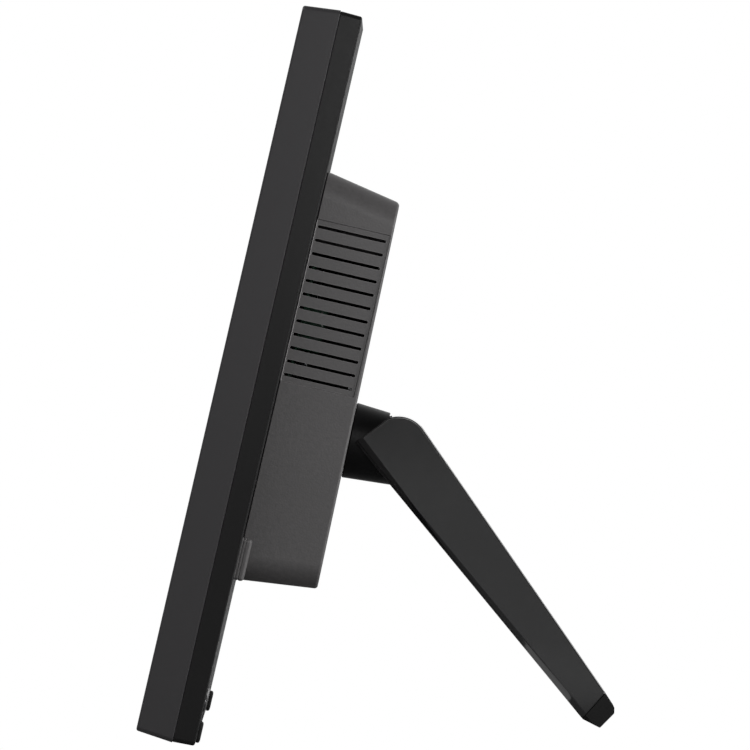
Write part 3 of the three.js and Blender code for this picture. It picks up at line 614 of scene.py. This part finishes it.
def vent_cutters(side):
    """The cutter for the shallow recess on one side of the box, and those for the slots in it."""
    y0, y1 = SLOTS["y"]
    bottom = SLOTS["top"] - SLOTS["pitch"] * (SLOTS["count"] - 1) - FIELD["margin"]
    top = SLOTS["top"] + FIELD["margin"]

    def field_ring(spread):
        """The recess's outline at its floor, or further out and wider, as its walls slope."""
        front, rear = FIELD["y"][0] - spread, FIELD["y"][1] + spread
        low, high = bottom - spread, top + spread
        shape = rounded([(front, low, 0.6), (rear, low, 0.6), (rear, high, 0.6), (front, high, 0.6)])
        floor_x = BOX_WIDTH / 2 - FIELD["depth"] + spread
        draft = BOX_TAPER / 2 / (BOX_DEPTH[1] - BOX_DEPTH[0])
        return [Vector((side * (floor_x - draft * (p.x - BOX_DEPTH[0])), p.x, p.y)) for p in shape]

    field = [field_ring(0), field_ring(3)]
    half, end = SLOTS["height"] / 2, SLOTS["height"] * 0.49
    slots = []
    for i in range(SLOTS["count"]):
        z = SLOTS["top"] - i * SLOTS["pitch"]
        shape = rounded([(y0, z - half, end), (y1, z - half, end), (y1, z + half, end), (y0, z + half, end)])
        slots.append(side_solid(shape, side * (BOX_WIDTH / 2 - 4.4), side * (BOX_WIDTH / 2 + 3)))
    return field, slots


def socket_mouths():
    """Cutters through the box's underside for USB, audio and power, and through its -X side for the card."""
    usb_x, audio_x, power_x = (middle(name)[0] for name in ("usb_socket", "audio_jack", "dc_inlet"))
    card_z = middle("card_socket")[1]
    below, inside = BOX_BOTTOM[0] - 7.8, BOX_BOTTOM[0] + 6.2
    return [
        upright(outline(14.9, 7.6, 0.8, usb_x, 31.4), below + 1, inside),
        upright(circle(3.4, audio_x, 31.1), below, inside),
        upright(circle(4.6, power_x, 33.4), below, inside),
        block(-6 - BOX_WIDTH / 2, 6 - BOX_WIDTH / 2, 28.8, 31.5, card_z - 12.7, card_z + 12.7),
    ]


def make_electronics_box():
    front, rear = BOX_DEPTH
    profile = rounded([
        (5, rear, 0), (0, rear, 1.1), (0, front, 0.3), (BOX_WALL, front, 0.3),
        (BOX_WALL, rear - BOX_WALL, 1), (6, rear - BOX_WALL, 0),
    ], 4, closed=False)
    box = loft("electronics_box", [box_ring(inset, y) for inset, y in profile])
    join(box, [turned([(5, front + 0.2), (5, rear - 1.1)], x, z) for x, z in BOX_SCREWS])
    fields, slots = [], []
    for side in (-1, 1):
        field, side_slots = vent_cutters(side)
        fields.append(field)
        slots += side_slots
    cut(box, fields)
    wells = [(SCREW_HOLE, 0), (SCREW_HOLE, 46), (3.5, 46), (3.5, rear - 0.7), (4.4, rear + 0.7),
             (4.4, rear + 3)]
    mouths = [turned(wells, x, z) for x, z in BOX_SCREWS]
    mouths += [turned([(SCREW_HOLE, 40), (SCREW_HOLE, 60)], x, z) for x, z in middles("neck_screw", 3)]
    cut(box, slots + mouths + socket_mouths())
    return dress(smooth(box), "box_plastic", "housing", "electronics_cover")


# ---------------------------------------------------------------- keys and bumpers
def make_key(name):
    x, z = middle(f"{name}_button")
    low, high = panel_box(f"{name}_button")
    front, rear = low.y, high.y
    profile = [(-1, front), (-1, front + 1.2), (0, front + 1.25), (0, rear - 0.95), (0.1, rear - 0.6),
               (0.35, rear - 0.32), (0.8, rear - 0.13), (1.6, rear - 0.03), (2.6, rear)]
    key = loft(f"{name}_key_cap", moulding(10, 7, 3.4, profile, x, z, steps=10))
    return dress(smooth(key), "key_plastic", f"{name}_key", f"{name}_button")


def make_rocker():
    x, z = middle("select_rocker")
    low, high = panel_box("select_rocker")
    front, rear = low.y, high.y
    profile = [(-1, front), (-1, front + 1.1), (0, front + 1.15)]
    for groove in (rear - 3.4, rear - 2.3):
        profile += [(0, groove - 0.3), (0.22, groove - 0.12), (0.22, groove + 0.12), (0, groove + 0.3)]
    profile += [(0, rear - 1.25), (0.15, rear - 0.75), (0.5, rear - 0.3), (1.1, rear - 0.05), (2, rear)]
    rocker = loft("rocker_bar", moulding(10, 16.6, 1.2, profile, x, z))
    finger_lines = [block(x - 2.6, x + 2.6, rear - 0.35, rear + 1, z + row - 0.25, z + row + 0.25)
                    for row in (-5.8, -4.8, 4.8, 5.8)]
    cut(rocker, finger_lines)
    return dress(smooth(rocker), "box_plastic", "rocker", "select_rocker")


def make_bumper(side):
    x, z = middle(f"bumper_{side}")
    low, high = panel_box(f"bumper_{side}")
    rear = high.y
    profile = [(0, REAR_Y + 0.02), (0, rear - 0.75), (0.12, rear - 0.42), (0.42, rear - 0.15), (1.1, rear)]
    bumper = loft(f"bumper_pad_{side}", moulding(16, high.z - low.z, 2.2, profile, x, z, steps=8))
    return dress(smooth(bumper), "rubber", "housing", f"bumper_{side}")


# ---------------------------------------------------------------- neck
PIVOT_Y, PIVOT_Z = 76, 127.9
NECK_Z = 125.7
NECK_R, NECK_DRAFT = 15.25, 0.07  # the radius at the box, and how fast it shrinks towards the leg
KNUCKLE_R = 8.1
TONGUE = 8.7  # half the width of the part that the leg hinges on


def make_neck():
    rear = BOX_DEPTH[1]
    base, shoulder = rear + 0.3, 69.2

    def radius(y):
        return NECK_R - NECK_DRAFT * (y - rear)

    profile = [(radius(base) - 0.35, base), (radius(base), base + 0.35), (radius(shoulder), shoulder),
               (radius(PIVOT_Y), PIVOT_Y)]
    rings = turned(profile, 0, NECK_Z, 72)
    for ring in rings[:2]:
        for p in ring:
            p.y -= WEDGE * (p.z - BOX_MIDDLE)
    neck = loft("neck", rings)
    cut(neck, [block(TONGUE, 30, shoulder, 95, 90, 160), block(-30, -TONGUE, shoulder, 95, 90, 160)])
    cut(neck, [block(-30, 30, shoulder, 95, PIVOT_Z, 160)])
    join(neck, [block(-TONGUE, TONGUE, shoulder - 2, PIVOT_Y, PIVOT_Z - KNUCKLE_R, PIVOT_Z + KNUCKLE_R)])
    join(neck, [side_solid(circle(KNUCKLE_R, PIVOT_Y, PIVOT_Z, 64), -TONGUE, TONGUE)])
    clean(neck)
    soften(neck, 0.45 * MM)
    holes = [turned([(SCREW_HOLE, 40), (SCREW_HOLE, rear + 7)], x, z) for x, z in middles("neck_screw", 3)]
    cut(neck, holes + [side_solid(circle(2.8, PIVOT_Y, PIVOT_Z), -30, 30)])
    dress(smooth(neck), "gloss_black", "housing", "stand_neck")
    # The neck trades its gloss black for the darker matte copy, as painted shade.
    neck.data.materials[0] = FINISHES["neck_shaded_black"]


# ---------------------------------------------------------------- leg
LEG_HALF = 17.6  # half the leg's width at the hinge
LEG_TAPER = 0.001  # how much of its width the leg loses per millimetre towards its foot
LEG_WALL = 2.5  # behind the hollow
HOLLOW = 15.1  # half the hollow's width
HOLLOW_END = -124  # how far down the leg the hollow goes
CROWN = {"y": -0.4, "z": 0.75, "r": 11.8}
LEG_TOP = 12.1
HEEL_REAR, HEEL_FRONT = (9.75, -127.6), -130.6  # where the rubber foot starts
SOLE_REAR = (8, -136.2)


def along(at_hinge, at_foot, z):
    return at_hinge + (at_foot - at_hinge) * -z / LEG_REACH


def rear_edge(z):
    return along(11.4, 9.7, z)


def front_edge(z):
    return along(-12.85, -3.15, z)


def leg_profile(inset, end, top, foot, steps=28):
    """The leg's side view as (y, z) points, up its rear edge and over the rounded crown."""
    r = CROWN["r"] - inset
    points = [Vector(p) for p in foot]
    points += [Vector((CROWN["y"] + r * math.cos(a), CROWN["z"] + r * math.sin(a)))
               for a in (end * i / steps for i in range(steps + 1))]
    if top > points[-1].y + 0.01:
        points.append(Vector((points[-1].x, top)))
    return points + [Vector((front_edge(top), top))]


def edge_cutters():
    """Wedges that take the long bevel off both front edges."""
    cutters = []
    for side in (-1, 1):
        rings = []
        for z in (-145, 25):
            height = along(3.4, 2.1, z)
            section = [(LEG_HALF - 2, 0), (LEG_HALF - 2, -4), (LEG_HALF + 5, -4), (LEG_HALF + 5, 3.5)]
            rings.append([Vector((side * x, front_edge(z) + up * height, z)) for x, up in section])
        cutters.append(rings)
    return cutters


def narrow(piece):
    """The leg is a little narrower at its foot."""
    inverse = LEG.inverted()
    for vertex in piece.data.vertices:
        p = inverse @ vertex.co
        p.x *= 1 + LEG_TAPER * p.z
        vertex.co = LEG @ p
    return piece


def leg_screws():
    """How far along the leg its two screws are."""
    boxes = [extents(f"leg_screw_{i}", LEG) for i in (1, 2)]
    return [(low.z + high.z) / 2 for low, high in boxes]


def make_leg():
    end = math.asin((LEG_TOP - CROWN["z"]) / CROWN["r"])
    outer = leg_profile(0, end, LEG_TOP, [(front_edge(HEEL_FRONT), HEEL_FRONT), HEEL_REAR])
    leg = loft("leg", side_solid(outer, -LEG_HALF, LEG_HALF), LEG)
    cut(leg, edge_cutters(), LEG)
    clean(leg)
    soften(leg, 1.1 * MM, 4)
    floor = [(-30, HOLLOW_END), (rear_edge(HOLLOW_END) - LEG_WALL, HOLLOW_END)]
    cavity = side_solid(leg_profile(LEG_WALL, math.pi / 3, 30, floor), -HOLLOW, HOLLOW)
    cut(leg, [cavity], LEG)
    mouth_y = front_edge(-39) + 5
    cut(leg, [block(-HOLLOW, HOLLOW, mouth_y - 40, mouth_y, HOLLOW_END, 46)], LEG)
    posts = [turned([(3.4, front_edge(z) + 2.6), (3.4, rear_edge(z) - 1)], 0, z) for z in leg_screws()]
    join(leg, posts, LEG)
    cut(leg, [turned([(SCREW_HOLE, -40), (SCREW_HOLE, 5)], 0, z) for z in leg_screws()], LEG)
    return dress(smooth(narrow(leg)), "gloss_black", "leg", "leg_shell")


def make_leg_cover():
    bottom, top = -123.6, -18
    strip = [(front_edge(bottom), bottom), (front_edge(bottom) + 2, bottom),
             (front_edge(top) + 2, top), (front_edge(top), top)]
    cover = loft("leg_inner_cover", side_solid(strip, 0.3 - HOLLOW, HOLLOW - 0.3), LEG)
    soften(cover, 0.45 * MM, 3)
    wells = []
    for z in leg_screws():
        face = front_edge(z)
        well = [(3.9, -40), (3.9, face - 0.1), (3.3, face + 0.5), (3.3, face + 1),
                (SCREW_HOLE, face + 1), (SCREW_HOLE, 20)]
        wells.append(turned(well, 0, z))
    cut(cover, wells, LEG)
    return dress(smooth(narrow(cover)), "gloss_black", "leg", "leg_front_cover")


def make_foot():
    tip = rounded([
        (front_edge(HEEL_FRONT), HEEL_FRONT - 0.1, 0), (0, -LEG_REACH, 0.5), (*SOLE_REAR, 0.6),
        (9.4, -134.4, 0.6), (HEEL_REAR[0] - 0.05, HEEL_REAR[1] - 0.1, 0),
    ], 4)
    foot = loft("foot", side_solid(tip, -LEG_HALF, LEG_HALF), LEG)
    cut(foot, edge_cutters(), LEG)
    clean(foot)
    soften(foot, 0.4 * MM, 3)
    sole = Vector(SOLE_REAR) - Vector((0, -LEG_REACH))
    grooves = []
    for share in (0.3, 0.5, 0.7, 0.9):
        y, z = Vector((0, -LEG_REACH)) + sole * share
        grooves.append(side_solid(circle(0.42, y, z - 0.12, 12), 3 - LEG_HALF, LEG_HALF - 3))
    cut(foot, grooves, LEG)
    return dress(smooth(narrow(foot)), "rubber", "leg", "leg_foot")


make_bezel()
make_rear_cover()
make_electronics_box()
for key in KEYS:
    make_key(key)
make_rocker()
for bumper_side in ("left", "right"):
    make_bumper(bumper_side)
make_neck()
make_leg()
make_leg_cover()
make_foot()

# ---------------------------------------------------------------- camera, light and floor
CAMERA_DISTANCE = 5.014  # from the frame's near side
CAMERA_PLACE = Vector((0, -0.0016, 0.2187))
CAMERA_AIM = Vector((0, -0.0016, 0.1434))
VIEW_WIDTH = 0.2895  # how much of the near side's plane the picture takes in


def make_camera():
    data = bpy.data.cameras.new("camera")
    data.lens = data.sensor_width * CAMERA_DISTANCE / VIEW_WIDTH
    data.clip_end = 60
    camera = bpy.data.objects.new("camera", data)
    bpy.context.scene.collection.objects.link(camera)
    near = ACROSS * cad_high.x
    camera.location = near + CAMERA_PLACE + ACROSS * CAMERA_DISTANCE
    camera.rotation_mode = "QUATERNION"
    camera.rotation_quaternion = (near + CAMERA_AIM - camera.location).to_track_quat("-Z", "Y")
    bpy.context.scene.camera = camera


def softbox(name, place, aim, size, power):
    data = bpy.data.lights.new(name, "AREA")
    data.shape = "RECTANGLE"
    data.size, data.size_y = size
    data.energy = power
    lamp = bpy.data.objects.new(name, data)
    bpy.context.scene.collection.objects.link(lamp)
    lamp.location = place
    lamp.rotation_mode = "QUATERNION"
    lamp.rotation_quaternion = (Vector(aim) - Vector(place)).to_track_quat("-Z", "Y")
    lamp.visible_camera = False


def seen_and_lit(tree, seen, lit):
    """One shader for what the camera sees and another for what the light meets."""
    either = tree.nodes.new("ShaderNodeMixShader")
    tree.links.new(tree.nodes.new("ShaderNodeLightPath").outputs["Is Camera Ray"], either.inputs[0])
    tree.links.new(lit.outputs[0], either.inputs[1])
    tree.links.new(seen.outputs[0], either.inputs[2])
    return either.outputs[0]


def make_studio():
    """A white surround that throws little light, with soft boxes that do the lighting."""
    world = bpy.data.worlds.new("studio")
    bpy.context.scene.world = world
    world.use_nodes = True
    tree = world.node_tree
    lit = tree.nodes["Background"]
    seen = node(tree, "ShaderNodeBackground", Color=(1, 1, 1, 1), Strength=1.0)
    split = tree.nodes.new("ShaderNodeSeparateXYZ")
    tree.links.new(tree.nodes.new("ShaderNodeTexCoord").outputs["Generated"], split.inputs[0])
    span = node(tree, "ShaderNodeMapRange")
    for socket, value in (("From Min", -1), ("From Max", 1), ("To Min", 0), ("To Max", 1)):
        span.inputs[socket].default_value = value
    tree.links.new(split.outputs["X"], span.inputs["Value"])
    across = ramp(tree, span.outputs[0], [(0, 1), (0.35, 0.3), (0.75, 0.12), (1, 0.4)])
    tree.links.new(across, lit.inputs["Color"])
    lit.inputs["Strength"].default_value = 1.0
    tree.links.new(seen_and_lit(tree, seen, lit), tree.nodes["World Output"].inputs["Surface"])
    softbox("key_light", (0.5, -1.7, 1.9), (0, -0.05, 0.2), (1.0, 1.0), 34)
    softbox("side_light", (2.2, -0.2, 0.4), (0, 0, 0.15), (1.0, 0.5), 3)
    softbox("box_light", (0.5, 0.1, 0.27), (0.12, 0, 0.22), (0.2, 0.2), 0.36)
    softbox("foot_card", (0.02, 0.045, 0.002), (0.02, 0.045, 1), (0.08, 0.042), 0.006)
    softbox("back_light", (0.5, 2.1, 0.35), (0, 0, 0.15), (0.8, 0.6), 36)


def make_floor():
    bm = bmesh.new()
    bmesh.ops.create_grid(bm, x_segments=8, y_segments=8, size=20)
    floor = to_object("floor", bm, Matrix.Translation((0, 0, cad_low.z - 0.0002)))
    material, tree, shader = new_material("floor")
    shader.inputs["Roughness"].default_value = 0.9
    shader.inputs["Base Color"].default_value = (0.45, 0.45, 0.45, 1)
    white = node(tree, "ShaderNodeEmission", Color=(1, 1, 1, 1), Strength=1.0)
    tree.links.new(seen_and_lit(tree, white, shader), tree.nodes["Material Output"].inputs["Surface"])
    floor.data.materials.append(material)


make_camera()
make_studio()
make_floor()
view = bpy.context.scene.view_settings
view.view_transform = "Standard"
view.look = "None"
